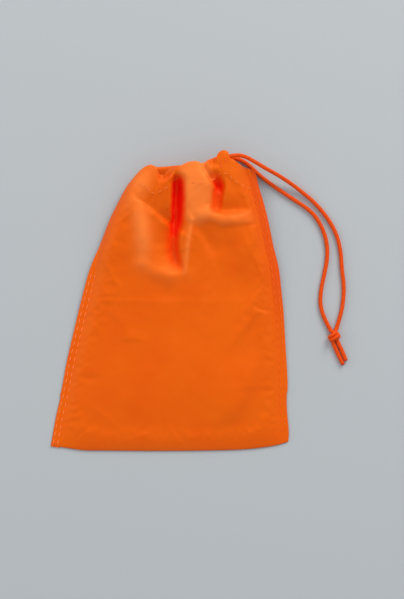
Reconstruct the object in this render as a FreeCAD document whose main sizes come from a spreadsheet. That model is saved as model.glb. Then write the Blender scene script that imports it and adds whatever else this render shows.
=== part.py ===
import FreeCAD, Part
import math
import os
import re

import Sketcher

# A small drawcord stuff sack that lies on its back.  Millimetres.
# +X runs across the sack towards the cord's way out, +Y towards the mouth, +Z up.
# The origin is on the floor, under the middle of the sack.

V = FreeCAD.Vector

SIZES = [
    ("sack_width", 150.0),          # across the bottom fold
    ("sack_length", 189.0),         # bottom fold to the highest point of the lip
    ("low_station", 64.5),          # lower measuring line, above the fold
    ("high_station", 64.5),         # upper measuring line, below the top of the lip
    ("left_draw_low", 12.0),        # how far the left side has drawn in at each line
    ("left_draw_high", 29.0),
    ("right_draw_low", 2.5),
    ("right_draw_high", 9.0),
    ("low_height", 8.5),            # front panel above the floor at each line
    ("high_height", 12.5),
    ("low_seam_rise", 2.0),         # middle of the side seams above the floor
    ("high_seam_rise", 4.0),
    ("corner_rise", 6.0),
    ("side_slope", 10.0),           # width of the sloping side of each panel
    ("cloth_wall", 0.8),            # stands in for the cloth and its folds
    ("floor_trim", 0.4),            # taken off under the back panel, to rest it flat
    ("seam_width", 6.0),
    ("flap_width", 9.0),            # cloth between the channel's end and the right seam
    ("far_flap_width", 10.9),       # cloth between the channel's far end and the left seam
    ("exit_inset", 38.5),           # right side line to the cord's way out
    ("channel_length", 54.0),       # drawn-up length of the hem channel
    ("channel_tilt", 13.0),         # degrees, the channel rises towards the way out
    ("hem_depth", 15.0),
    ("lip_above_cord", 6.0),
    ("mouth_gap", 5.0),             # between the front and the back channel
    ("slide_gap", 0.3),             # around the piece that slides along the mouth
    ("cord_diameter", 2.5),
    ("cord_gap", 0.4),              # around the cord inside the channel
    ("knot_length", 8.4),
    ("knot_width", 8.0),
    ("knot_height", 6.2),
    ("tail_gap", 0.16),             # between the two tails where they lie side by side
    ("tip_length", 1.2),
    ("tip_diameter", 2.3),
    ("stitch_pitch", 5.3),
    ("stitch_length", 3.6),
    ("stitch_width", 0.6),
    ("stitch_height", 0.4),
    ("stitch_bite", 0.1),           # how far the thread sinks into the cloth
    ("outer_row_inset", 1.9),       # side edge to each thread row
    ("inner_row_inset", 4.4),
    ("hem_row_inset", 1.2),         # lower edge of the hem to its thread row
    ("tack_length", 4.0),
    ("tack_width", 1.4),
    ("tack_inset", 2.6),            # channel's end to the middle of the bar tack
]

# Routes of the free cord from the way out: across, along, and how high it still is,
# where 1 is the level at which that leg leaves the channel and 0 is the floor.
OUTER_ROUTE = [
    (0.0, 0.0, 1.0),
    (4.5, 1.05, 0.985),
    (10.1, 0.15, 0.93),
    (16.5, -3.35, 0.85),
    (23.5, -7.35, 0.73),
    (30.5, -10.75, 0.52),
    (37.1, -14.55, 0.27),
    (43.5, -18.85, 0.09),
    (53.5, -26.85, 0.0),
    (61.5, -36.25, 0.0),
    (67.5, -46.65, 0.0),
    (70.1, -57.65, 0.0),
    (70.7, -68.65, 0.0),
    (72.2, -79.45, 0.0),
    (71.5, -90.65, 0.0),
    (69.1, -100.65, 0.0),
    (66.8, -107.65, 0.0),
]
INNER_ROUTE = [
    (0.0, 0.0, 1.0),
    (4.3, 0.55, 0.75),
    (10.1, -1.75, 0.25),
    (14.5, -5.45, 0.0),
    (18.9, -9.85, 0.0),
    (25.0, -14.65, 0.0),
    (31.5, -19.25, 0.0),
    (38.7, -24.05, 0.0),
    (46.1, -28.75, 0.0),
    (52.7, -33.75, 0.0),
    (58.1, -41.65, 0.0),
    (61.3, -51.15, 0.0),
    (61.9, -61.15, 0.0),
    (59.9, -71.65, 0.0),
    (57.7, -81.65, 0.0),
    (57.1, -90.65, 0.0),
    (59.7, -99.65, 0.0),
    (63.9, -107.25, 0.0),
]
# Each tail's own line; the two are then set apart, side by side, along TAILS_APART.
TAIL_ROUTES = {
    "tail_a": [(65.9, -112.67, 0.0), (68.7, -119.67, 0.0), (72.4, -126.97, 0.0)],
    "tail_b": [(65.9, -112.63, 0.0), (69.4, -119.33, 0.0), (71.8, -125.63, 0.0)],
}
TAIL_SIDES = {"tail_a": -1, "tail_b": 1}
TAILS_APART = V(0.904, 0.428, 0.0)
KNOT_PLACE = (65.5, -110.25)
KNOT_TURN = -60.0
LIMP_BEND = 3.0                     # smallest bend radius of the cord, in diameters
ARC_SHARE = 0.45                    # how far an arc reaches along the shorter run beside it

doc = FreeCAD.newDocument("stuff_sack")
sheet = doc.addObject("Spreadsheet::Sheet", "sizes")


def fill_sheet():
    for row, (alias, value) in enumerate(SIZES, start=1):
        cell = "A%d" % row
        sheet.set(cell, repr(value))
        sheet.setAlias(cell, alias)
    doc.recompute()


def expand(text):
    """Put the sheet's name before each alias of a formula."""
    names = "|".join(alias for alias, _ in SIZES)
    return re.sub(r"\b(" + names + r")\b", r"sizes.\1", text)


def value(text):
    """What a formula of the sheet's aliases comes to."""
    return float(sheet.evalExpression(expand(text)))


# Formulas that several pieces share.
HALF_WIDTH = "sack_width / 2"
FOLD_Y = "( 0 - sack_length / 2 )"
CHANNEL_HEIGHT = "( cord_diameter + 2 * cord_gap + 2 * cloth_wall )"
MOUTH_HEIGHT = "( 2 * " + CHANNEL_HEIGHT + " + mouth_gap )"
CORD_LEVEL = "( " + CHANNEL_HEIGHT + " / 2 )"
TOP_CORD_LEVEL = "( " + MOUTH_HEIGHT + " - " + CORD_LEVEL + " )"
LOW_EDGE = "( lip_above_cord - hem_depth )"
COSINE = "cos( channel_tilt * 1 deg )"
SINE = "sin( channel_tilt * 1 deg )"
EXIT_X = "( " + HALF_WIDTH + " - exit_inset )"
EXIT_Y = "( sack_length / 2 - lip_above_cord * " + COSINE + " )"
FAR_X = "( " + EXIT_X + " - channel_length * " + COSINE + " )"
FAR_Y = "( " + EXIT_Y + " - channel_length * " + SINE + " )"


def plane(body, role):
    return next(item for item in body.Origin.OriginFeatures if item.Role == role)


def new_body(label):
    body = doc.addObject("PartDesign::Body", label)
    body.Label = label
    return body


def put_on_channel(body, level="0"):
    """Turn a body along the channel, with its origin at the channel's far end."""
    body.Placement = FreeCAD.Placement(V(), FreeCAD.Rotation(V(0, 0, 1), 1))
    place = {
        "Placement.Base.x": FAR_X,
        "Placement.Base.y": FAR_Y,
        "Placement.Base.z": level,
    }
    for key, text in place.items():
        body.setExpression(key, expand(text))
    body.setExpression("Placement.Rotation.Angle", expand("channel_tilt * 1 deg"))


def draw_loop(sketch, corners):
    """A closed outline through corners given as formulas, each held from the origin."""
    points = [V(value(a), value(b), 0) for a, b in corners]
    count = len(points)
    first = sketch.GeometryCount
    for index in range(count):
        side = Part.LineSegment(points[index], points[(index + 1) % count])
        sketch.addGeometry(side, False)
    for index in range(count):
        here = first + index
        after = first + (index + 1) % count
        sketch.addConstraint(Sketcher.Constraint("Coincident", here, 2, after, 1))
    for index, corner in enumerate(corners):
        for kind, text in zip(("DistanceX", "DistanceY"), corner):
            rule = Sketcher.Constraint(kind, -1, 1, first + index, 1, value(text))
            number = sketch.addConstraint(rule)
            sketch.setExpression("Constraints[%d]" % number, expand(text))


def new_sketch(body, name, role):
    sketch = body.newObject("Sketcher::SketchObject", body.Name + "_" + name)
    sketch.AttachmentSupport = [(plane(body, role), "")]
    sketch.MapMode = "FlatFace"
    return sketch


def section(body, name, corners, across="0", along="0", turned=False):
    """An upright section of a panel or seam, square to +Y or square to the hem."""
    sketch = new_sketch(body, name, "XZ_Plane")
    draw_loop(sketch, corners)
    if turned:
        turn = FreeCAD.Rotation(V(0, 1, 0), 1)
        sketch.AttachmentOffset = FreeCAD.Placement(V(), turn)
        sketch.setExpression("AttachmentOffset.Rotation.Angle", expand("channel_tilt * 1 deg"))
    sketch.setExpression("AttachmentOffset.Base.x", expand(across))
    sketch.setExpression("AttachmentOffset.Base.z", expand("0 - ( " + along + " )"))
    return sketch


# Each station: left side, right side, middle of the seam and top of the panel.
STATIONS = {
    "fold": ("( 0 - sack_width / 2 )", "sack_width / 2", "cloth_wall", "2 * cloth_wall"),
    "low": (
        "( left_draw_low - sack_width / 2 )",
        "( sack_width / 2 - right_draw_low )",
        "low_seam_rise",
        "low_height",
    ),
    "high": (
        "( left_draw_high - sack_width / 2 )",
        "( sack_width / 2 - right_draw_high )",
        "high_seam_rise",
        "high_height",
    ),
    "hem": (
        "( 0 - far_flap_width - seam_width )",
        "( channel_length + flap_width + seam_width )",
        "corner_rise",
        MOUTH_HEIGHT,
    ),
}
STATION_Y = {
    "fold": FOLD_Y,
    "low": FOLD_Y + " + low_station",
    "high": "( sack_length / 2 - high_station )",
}


def loft_through_stations(label, outline):
    """A soft piece that runs from the bottom fold up to the hem."""
    body = new_body(label)
    sketches = []
    for name, (left, right, seam, top) in STATIONS.items():
        corners = outline(left, right, seam, top)
        if name == "hem":
            across = FAR_X + " - " + LOW_EDGE + " * " + SINE
            along = FAR_Y + " + " + LOW_EDGE + " * " + COSINE
            sketches.append(section(body, name, corners, across, along, turned=True))
        else:
            sketches.append(section(body, name, corners, along=STATION_Y[name]))
    loft = body.newObject("PartDesign::AdditiveLoft", label + "_loft")
    loft.Profile = sketches[0]
    loft.Sections = sketches[1:]
    loft.Ruled = True
    return body


def front_outline(left, right, seam, top):
    near = left + " + seam_width"
    far = right + " - seam_width"
    outer = seam + " + cloth_wall"
    return [
        (near, seam),
        (near + " + side_slope", top + " - cloth_wall"),
        (far + " - side_slope", top + " - cloth_wall"),
        (far, seam),
        (far, outer),
        (far + " - side_slope", top),
        (near + " + side_slope", top),
        (near, outer),
    ]


def back_outline(left, right, seam, top):
    near = left + " + seam_width"
    far = right + " - seam_width"
    return [
        (near, seam + " - cloth_wall"),
        (near + " + side_slope", "( 0 - floor_trim )"),
        (far + " - side_slope", "( 0 - floor_trim )"),
        (far, seam + " - cloth_wall"),
        (far, seam),
        (far + " - side_slope", "cloth_wall"),
        (near + " + side_slope", "cloth_wall"),
        (near, seam),
    ]


def make_back_panel():
    """The panel that the sack lies on, trimmed to rest flat on the floor."""
    body = loft_through_stations("back_panel", back_outline)
    doc.recompute()
    lofted = body.Shape.Volume
    sketch = new_sketch(body, "floor", "XY_Plane")
    draw_loop(sketch, rectangle("( 0 - sack_width )", "sack_width", "( 0 - sack_length )", "sack_length"))
    trim = body.newObject("PartDesign::Pocket", "back_panel_trim")
    trim.Profile = sketch
    trim.setExpression("Length", expand("2 * floor_trim"))
    doc.recompute()
    if body.Shape.Volume >= lofted:
        raise RuntimeError("the trim under the back panel took nothing off")
    return body


def strip_outline(inner, outer, seam):
    return [
        (outer, seam + " - cloth_wall"),
        (inner, seam + " - cloth_wall"),
        (inner, seam + " + cloth_wall"),
        (outer, seam + " + cloth_wall"),
    ]


def left_strip_outline(left, right, seam, top):
    return strip_outline(left + " + seam_width", left, seam)


def right_strip_outline(left, right, seam, top):
    return strip_outline(right + " - seam_width", right, seam)


def rectangle(low_across, high_across, low, high):
    return [
        (low_across, low),
        (high_across, low),
        (high_across, high),
        (low_across, high),
    ]


def tunnel_section(body, side_gap, level):
    """The hem's hollow section: across the hem, then up from a level."""
    sketch = new_sketch(body, "section", "YZ_Plane")
    low = LOW_EDGE + " + " + side_gap
    high = "lip_above_cord - " + side_gap
    top = level + " + " + CHANNEL_HEIGHT
    draw_loop(sketch, rectangle(low, high, level, top))
    inside = (
        low + " + cloth_wall",
        high + " - cloth_wall",
        level + " + cloth_wall",
        top + " - cloth_wall",
    )
    draw_loop(sketch, rectangle(*inside))
    return sketch


def make_casing(label, level):
    body = new_body(label)
    sketch = tunnel_section(body, "0", level)
    pad = body.newObject("PartDesign::Pad", label + "_pad")
    pad.Profile = sketch
    pad.setExpression("Length", expand("channel_length"))
    put_on_channel(body)
    return body


def make_casing_far_end():
    """The hem's half turn from back to front over the bend of the cord."""
    body = new_body("casing_far_end")
    sketch = tunnel_section(body, "slide_gap", "( 0 - " + MOUTH_HEIGHT + " / 2 )")
    turn = body.newObject("PartDesign::Revolution", "casing_far_end_turn")
    turn.Profile = sketch
    turn.ReferenceAxis = (sketch, ["H_Axis"])
    turn.Angle = 180
    turn.Reversed = False
    put_on_channel(body, level=MOUTH_HEIGHT + " / 2")
    return body


def make_channel_cord():
    """The cord inside the hem: front run, bend round the far end, back run."""
    body = new_body("channel_cord")
    path = new_sketch(body, "path", "XZ_Plane")
    end = value("channel_length")
    top = value(TOP_CORD_LEVEL)
    low = value(CORD_LEVEL)
    middle = (top + low) / 2
    radius = (top - low) / 2
    path.addGeometry(Part.LineSegment(V(end, top, 0), V(0, top, 0)), False)
    bend = Part.Circle(V(0, middle, 0), V(0, 0, 1), radius)
    path.addGeometry(Part.ArcOfCircle(bend, math.pi / 2, 3 * math.pi / 2), False)
    path.addGeometry(Part.LineSegment(V(0, low, 0), V(end, low, 0)), False)
    path.addConstraint(Sketcher.Constraint("Tangent", 0, 2, 1, 1))
    path.addConstraint(Sketcher.Constraint("Tangent", 1, 2, 2, 1))
    held = [
        ("DistanceX", 0, 1, "channel_length"),
        ("DistanceY", 0, 1, TOP_CORD_LEVEL),
        ("DistanceX", 0, 2, "0"),
        ("DistanceY", 0, 2, TOP_CORD_LEVEL),
        ("DistanceX", 2, 2, "channel_length"),
        ("DistanceY", 2, 2, CORD_LEVEL),
    ]
    for kind, line, point, text in held:
        rule = Sketcher.Constraint(kind, -1, 1, line, point, value(text))
        number = path.addConstraint(rule)
        path.setExpression("Constraints[%d]" % number, expand(text))
    ring = new_sketch(body, "ring", "YZ_Plane")
    ring.addGeometry(Part.Circle(V(0, top, 0), V(0, 0, 1), value("cord_diameter / 2")), False)
    rules = [
        ("DistanceX", (-1, 1, 0, 3), "0"),
        ("DistanceY", (-1, 1, 0, 3), TOP_CORD_LEVEL),
        ("Radius", (0,), "cord_diameter / 2"),
    ]
    for kind, ends, text in rules:
        number = ring.addConstraint(Sketcher.Constraint(kind, *ends, value(text)))
        ring.setExpression("Constraints[%d]" % number, expand(text))
    ring.setExpression("AttachmentOffset.Base.z", expand("channel_length"))
    pipe = body.newObject("PartDesign::AdditivePipe", "channel_cord_pipe")
    pipe.Profile = ring
    pipe.Spine = path
    put_on_channel(body)
    return body


def route_points(route, level):
    """Points of a free cord, from the way out; it never sinks below the floor."""
    exit_x = value(EXIT_X)
    exit_y = value(EXIT_Y)
    floor = value("cord_diameter / 2")
    points = []
    for across, along, share in route:
        height = floor + share * (level - floor)
        points.append(V(exit_x + across, exit_y + along, height))
    return points


def tail_points(label):
    """A tail beside its twin, half a cord and half the gap off their common line."""
    shift = TAILS_APART * (TAIL_SIDES[label] * value("( cord_diameter + tail_gap ) / 2"))
    return [point + shift for point in route_points(TAIL_ROUTES[label], value(CORD_LEVEL))]


def route_wire(label, points):
    """Straight runs joined by tangent arcs as large as the runs allow."""
    edges = []
    radii = []
    start = points[0]
    for before, corner, after in zip(points, points[1:], points[2:]):
        back = before - corner
        ahead = after - corner
        setback = ARC_SHARE * min(back.Length, ahead.Length)
        half_turn = (math.pi - back.getAngle(ahead)) / 2
        radius = setback / math.tan(half_turn)
        radii.append(radius)
        back.normalize()
        ahead.normalize()
        first = corner + back * setback
        last = corner + ahead * setback
        inward = (back + ahead).normalize()
        middle = corner + inward * (radius / math.cos(half_turn) - radius)
        edges.append(Part.LineSegment(start, first).toShape())
        edges.append(Part.Arc(first, middle, last).toShape())
        start = last
    edges.append(Part.LineSegment(start, points[-1]).toShape())
    wire = Part.Wire(edges)
    smallest = min(radii)
    print("%s: length %.1f, smallest bend radius %.1f" % (label, wire.Length, smallest))
    print("  radii " + " ".join("%.1f" % radius for radius in radii))
    if smallest < LIMP_BEND * value("cord_diameter"):
        print("  WARNING: bend tighter than the cord allows")
    return wire


def make_tube(label, points):
    wire = route_wire(label, points)
    radius = value("cord_diameter / 2")
    ring = Part.Wire(Part.Circle(points[0], points[1] - points[0], radius).toShape())
    shape = wire.makePipeShell([ring], True, False)
    expected = math.pi * radius ** 2 * wire.Length
    print("  volume %.2f, section times length %.2f" % (shape.Volume, expected))
    tube = doc.addObject("Part::Feature", label)
    tube.Label = label
    tube.Shape = shape
    tube.Placement = FreeCAD.Placement()
    return tube


def make_knot():
    knot = doc.addObject("Part::Ellipsoid", "knot")
    knot.Label = "knot"
    knot.Angle1 = -90
    knot.Angle2 = 90
    knot.Angle3 = 360
    knot.setExpression("Radius1", expand("knot_height / 2"))
    knot.setExpression("Radius2", expand("knot_length / 2"))
    knot.setExpression("Radius3", expand("knot_width / 2"))
    knot.Placement = FreeCAD.Placement(V(), FreeCAD.Rotation(V(0, 0, 1), KNOT_TURN))
    knot.setExpression("Placement.Base.x", expand(EXIT_X + " + %r" % KNOT_PLACE[0]))
    knot.setExpression("Placement.Base.y", expand(EXIT_Y + " + ( %r )" % KNOT_PLACE[1]))
    knot.setExpression("Placement.Base.z", expand("knot_height / 2"))
    return knot


def make_tip(label, points):
    """The melted end of a tail, a little slimmer than the cord."""
    along = points[-1] - points[-2]
    tip = doc.addObject("Part::Cylinder", label)
    tip.Label = label
    tip.setExpression("Radius", expand("tip_diameter / 2"))
    tip.setExpression("Height", expand("tip_length"))
    tip.Placement = FreeCAD.Placement(points[-1], FreeCAD.Rotation(V(0, 0, 1), along))
    return tip


def stitch_box():
    """One stitch, lying along X with its underside sunk into the cloth."""
    length = value("stitch_length")
    width = value("stitch_width")
    height = value("stitch_height")
    corner = V(-length / 2, -width / 2, -value("stitch_bite"))
    return Part.makeBox(length, width, height, corner)


def stitches_between(first, last, side):
    """Stitches evenly spaced on a straight stretch; side points across the cloth."""
    stretch = last - first
    ahead = V(stretch).normalize()
    up = ahead.cross(side).normalize()
    if up.z < 0:
        up = up * -1
    count = int(stretch.Length // value("stitch_pitch"))
    pitch = stretch.Length / count
    found = []
    for number in range(count):
        middle = first + ahead * (pitch * (number + 0.5))
        turn = FreeCAD.Rotation(ahead, up.cross(ahead), up, "XYZ")
        stitch = stitch_box()
        stitch.Placement = FreeCAD.Placement(middle, turn)
        found.append(stitch)
    return found


def make_group(label, solids):
    group = doc.addObject("Part::Feature", label)
    group.Label = label
    group.Shape = Part.makeCompound(solids)
    group.Placement = FreeCAD.Placement()
    return group


def hem_point(across, along, level):
    """A point near the hem: along the channel, across it and above the floor."""
    turn = math.radians(value("channel_tilt"))
    x = value(FAR_X) + along * math.cos(turn) - across * math.sin(turn)
    y = value(FAR_Y) + along * math.sin(turn) + across * math.cos(turn)
    return V(x, y, level)


def seam_points(is_left, inset):
    """Where a thread row crosses each station, on top of the seam."""
    points = []
    for name, (left, right, seam, _) in STATIONS.items():
        edge = value(left) + inset if is_left else value(right) - inset
        level = value(seam + " + cloth_wall")
        if name == "hem":
            points.append(hem_point(value(LOW_EDGE), edge, level))
        else:
            points.append(V(edge, value(STATION_Y[name]), level))
    return points


def make_seam_row(label, is_left, inset):
    points = seam_points(is_left, value(inset))
    stitches = []
    for first, last in zip(points, points[1:]):
        stitches += stitches_between(first, last, V(1, 0, 0))
    return make_group(label, stitches)


def make_hem_row(label, level):
    across = value(LOW_EDGE + " + hem_row_inset")
    first = hem_point(across, 0, value(level))
    last = hem_point(across, value("channel_length"), value(level))
    return make_group(label, stitches_between(first, last, V(0, 1, 0)))


def make_bar_tacks():
    """A short dense tack across the lower side of each channel's open end."""
    length = value("tack_length")
    width = value("tack_width")
    along = value("channel_length - tack_inset")
    across = value(LOW_EDGE + " + 2 * hem_row_inset + tack_length / 2")
    tacks = []
    for level in (CHANNEL_HEIGHT, MOUTH_HEIGHT):
        corner = V(-width / 2, -length / 2, -value("stitch_bite"))
        tack = Part.makeBox(width, length, value("stitch_height"), corner)
        turn = FreeCAD.Rotation(V(0, 0, 1), value("channel_tilt"))
        tack.Placement = FreeCAD.Placement(hem_point(across, along, value(level)), turn)
        tacks.append(tack)
    return make_group("exit_bar_tacks", tacks)


def make_sack():
    pieces = [
        loft_through_stations("front_panel", front_outline),
        make_back_panel(),
        loft_through_stations("left_seam", left_strip_outline),
        loft_through_stations("right_seam", right_strip_outline),
        make_casing("back_casing", "0"),
        make_casing("front_casing", "( " + MOUTH_HEIGHT + " - " + CHANNEL_HEIGHT + " )"),
        make_casing_far_end(),
    ]
    pieces += [
        make_seam_row("left_outer_stitches", True, "outer_row_inset"),
        make_seam_row("left_inner_stitches", True, "inner_row_inset"),
        make_seam_row("right_outer_stitches", False, "outer_row_inset"),
        make_seam_row("right_inner_stitches", False, "inner_row_inset"),
        make_hem_row("back_hem_stitches", CHANNEL_HEIGHT),
        make_hem_row("front_hem_stitches", MOUTH_HEIGHT),
        make_bar_tacks(),
    ]
    return pieces


def make_drawcord():
    pieces = [
        make_channel_cord(),
        make_tube("outer_leg", route_points(OUTER_ROUTE, value(TOP_CORD_LEVEL))),
        make_tube("inner_leg", route_points(INNER_ROUTE, value(CORD_LEVEL))),
        make_knot(),
    ]
    for label in TAIL_ROUTES:
        points = tail_points(label)
        pieces.append(make_tube(label, points))
        pieces.append(make_tip(label + "_tip", points))
    return pieces


def check_and_write(pieces):
    doc.recompute()
    for item in doc.Objects:
        if "Invalid" in item.State or "Error" in item.State:
            raise RuntimeError("failed: " + item.Name)
    for piece in pieces:
        if piece.Shape.isNull() or not piece.Shape.isValid():
            raise RuntimeError("bad shape: " + piece.Label)
    os.makedirs("parts", exist_ok=True)
    for piece in pieces:
        piece.Shape.exportStep(os.path.join("parts", piece.Label + ".step"))
        box = piece.Shape.BoundBox
        count = len(piece.Shape.Solids)
        print("%-22s %3d solids %9.1f mm3  x %7.1f %7.1f  y %7.1f %7.1f  z %5.2f %5.2f" % (
            piece.Label, count, piece.Shape.Volume,
            box.XMin, box.XMax, box.YMin, box.YMax, box.ZMin, box.ZMax,
        ))


fill_sheet()
check_and_write(make_sack() + make_drawcord())
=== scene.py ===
"""A small drawcord sack of coated nylon, lying flat with its mouth gathered on the cord."""

import math

import bmesh
import bpy
import numpy as np
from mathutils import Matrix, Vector, noise
from mathutils.bvhtree import BVHTree


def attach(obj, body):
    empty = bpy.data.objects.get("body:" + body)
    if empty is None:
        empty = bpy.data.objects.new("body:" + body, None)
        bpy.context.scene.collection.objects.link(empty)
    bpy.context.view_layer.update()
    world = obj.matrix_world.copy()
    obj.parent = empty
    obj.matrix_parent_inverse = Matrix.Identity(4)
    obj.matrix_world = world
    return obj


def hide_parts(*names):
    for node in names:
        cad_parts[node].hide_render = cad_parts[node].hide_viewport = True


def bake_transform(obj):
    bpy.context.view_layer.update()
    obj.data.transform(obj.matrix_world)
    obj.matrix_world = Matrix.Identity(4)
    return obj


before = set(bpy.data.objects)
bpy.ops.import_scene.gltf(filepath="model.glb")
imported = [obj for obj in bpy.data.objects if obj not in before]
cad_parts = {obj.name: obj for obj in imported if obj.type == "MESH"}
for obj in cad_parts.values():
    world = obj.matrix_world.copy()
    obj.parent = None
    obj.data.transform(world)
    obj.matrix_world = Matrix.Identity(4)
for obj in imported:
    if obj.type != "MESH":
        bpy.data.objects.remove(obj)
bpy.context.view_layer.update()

# Sizes below are in millimetres in the part's own frame; MM turns them into metres.
MM = 0.001

# Drawcord
CORD_DIAMETER = 2.5
CORD_EXIT = (36.5, 88.654)
BACK_CORD_HEIGHT = 2.45
FRONT_CORD_HEIGHT = 12.35

# Each point of a leg: offset from the exit in X and Y, and the share of the exit's height left.
OUTER_LEG = (
    (0, 0, 1), (4.5, 1.05, 0.985), (10.1, 0.15, 0.93), (16.5, -3.35, 0.85), (23.5, -7.35, 0.73),
    (30.5, -10.75, 0.52), (37.1, -14.55, 0.27), (43.5, -18.85, 0.09), (53.5, -26.85, 0),
    (61.5, -36.25, 0), (67.5, -46.65, 0), (70.1, -57.65, 0), (70.7, -68.65, 0), (72.2, -79.45, 0),
    (71.5, -90.65, 0), (69.1, -100.65, 0), (66.8, -107.65, 0),
)
INNER_LEG = (
    (0, 0, 1), (4.3, 0.55, 0.75), (10.1, -1.75, 0.25), (14.5, -5.45, 0), (18.9, -9.85, 0),
    (25.0, -14.65, 0), (31.5, -19.25, 0), (38.7, -24.05, 0), (46.1, -28.75, 0), (52.7, -33.75, 0),
    (58.1, -41.65, 0), (61.3, -51.15, 0), (61.9, -61.15, 0), (59.9, -71.65, 0), (57.7, -81.65, 0),
    (57.1, -90.65, 0), (59.7, -99.65, 0), (63.9, -107.25, 0),
)

# Tails below the knot: offsets from the exit, and how far each is then moved to its own side, so
# that they lie just over a cord's width apart.
TAIL_A = ((65.9, -112.67), (68.7, -119.67), (72.4, -126.97))
TAIL_B = ((65.9, -112.63), (69.4, -119.33), (71.8, -125.63))
TAIL_ASIDE = (1.2, 0.57)

# Melted end of a tail: half its width, depth and length, and how far its middle is past the cord.
TIP_HALF_SIZE = (1.27, 1.2, 0.75)
TIP_REACH = 0.35

# Overhand knot: its cord, pulled a little thin, its middle, its long and cross directions, and
# the two cords as points given along, across and above the table.
KNOT_CORD_DIAMETER = 2.35
KNOT_CENTRE = (102.0, -21.6)
KNOT_ALONG = ((0.41, -0.912), (0.912, 0.41))
KNOT_STRANDS = (
    ((-3.2, 2.8, 1.25), (-2.0, 2.5, 2.2), (-1.3, 1.2, 4.5), (-0.9, -1.2, 5.1), (-0.4, -3.1, 3.5),
     (0.2, -2.6, 1.35), (0.8, 0.2, 1.2), (1.2, 2.6, 1.9), (1.6, 2.8, 3.7), (2.1, 1.4, 3.7),
     (2.8, 0.8, 2.0), (3.8, 0.72, 1.25)),
    ((-4.6, -0.5, 1.25), (-3.4, -0.3, 1.9), (-2.2, 0.6, 2.6), (-0.6, 2.6, 3.0), (0.7, 2.4, 4.7),
     (1.2, 0.2, 5.3), (1.5, -2.4, 4.5), (1.6, -3.0, 2.2), (0.6, -1.0, 1.6), (-0.6, 0.6, 2.4),
     (0.8, -0.6, 3.2), (2.2, -1.6, 2.4), (3.6, -1.95, 1.25)),
)

# Cord inside the hem, seen from above: along the front, round the far end and along the back.
# The front run is sunk below the roll of the lip by CORD_DEPTH; the bend's points have heights.
CHANNEL_FRONT = ((34.2, 87.0), (31.0, 84.6), (26.4, 82.2), (20.4, 81.0), (14.0, 80.0), (8.0, 78.4),
                 (2.6, 75.0), (-3.5, 70.4), (-9.0, 74.4), (-14.0, 76.6))
CHANNEL_BEND = ((-17.6, 76.6, 8.6), (-18.4, 76.4, 4.6))
CHANNEL_BACK = ((-12.0, 76.6), (0.0, 78.6), (14.0, 79.6), (26.0, 82.6))
CORD_DEPTH = 1.1
BACK_RUN_HEIGHT = 1.7

# Cut of the sack: flat width and length, and the hem turned down inside. Its roll at the lip has
# a radius, the least share of it left at a pinched place, and the gap to the hem's loose edge.
SACK_LENGTH = 189.0
HEM_DEPTH = 15.0
FRONT_ROLL = 1.5
BACK_ROLL = 1.3
LEAST_ROLL = 0.12
HEM_GAP = 0.3

# Side seams: allowance, the part of it that lies flat, thickness, and how far the mouth lifts it.
# The left one turns to the underside at a share of the way up, its stitches a little below that.
SEAM_WIDTH = 6.0
FLAT_BAND = SEAM_WIDTH - 0.8
SEAM_THICKNESS = 1.1
SEAM_LIFT = 5.6
LEFT_TURN = 0.66
TURN_REACH = 0.03
STITCH_TURN = LEFT_TURN - 0.02

# Heights of the plain part and of the gathered part, where one rises to the other, and the
# height over the table below which the front hardly sinks.
LOW_CROWN = 7.6
HIGH_CROWN = 14.8
RISE_MIDDLE = 28.0
RISE_REACH = 11.0
BACK_CLEARANCE = 3.2

# Pleats that the cord gathers: how many, how high, and how far they reach below the lip.
GATHER_COUNT = 17
GATHER_HEIGHT = 0.75
GATHER_REACH = 17.0

# Stitches: how far the side rows are from the edge, their usual step, how far they pull the cloth
# in on each side, and how far the hem row is from the lip.
OUTER_ROW = 1.9
INNER_ROW = 4.6
STITCH_PITCH = 5.3
PUCKER_REACH = 0.8
HEM_ROW_INSET = HEM_DEPTH - 1.2

# Bar tacks at the cord's way out: their middles, size, and the hem's direction there in degrees.
BAR_TACKS = ((34.4, 86.6), (31.6, 83.2))
BAR_TACK_LENGTH = 3.6
BAR_TACK_WIDTH = 1.3
HEM_ANGLE = 13

# Settling: how much longer the cloth grows, in how many frames, how far a point may move, and how
# close to the table it may come.
SLACK = 0.02
SETTLE_FRAMES = 14
MOST_SETTLE = 1.2
LEAST_HEIGHT = 0.1

# Fineness of the cloth's grid, of an edge or a fold's line, and of a curve between two points.
ROWS = 124
COLUMNS = 100
EDGE_STEPS = 400
FOLD_STEPS = 60
CURVE_STEPS = 24

# Outline of the sack as it lies, from the bottom fold up to the mouth and along the mouth.
LEFT_EDGE = (
    (-75.0, -90.6), (-71.6, -72.0), (-67.6, -55.0), (-64.4, -38.0), (-60.2, -20.0), (-55.2, 0.5),
    (-49.6, 20.5), (-43.2, 35.5), (-37.6, 50.0), (-32.2, 61.0), (-26.8, 71.0), (-21.0, 78.3),
)
RIGHT_EDGE = (
    (74.4, -88.2), (74.6, -80.0), (73.4, -66.0), (73.4, -49.0), (72.2, -29.0), (71.0, -9.0),
    (69.6, 5.5), (67.8, 20.5), (64.6, 33.5), (61.8, 47.0), (58.6, 60.0), (55.4, 70.5), (52.9, 81.0),
)
BOTTOM_FOLD = (
    (-75.0, -90.6), (-66.0, -92.0), (-54.0, -93.7), (-40.0, -93.9), (-10.0, -94.1), (20.0, -93.9),
    (45.0, -93.2), (64.0, -91.0), (74.4, -88.2),
)
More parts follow.
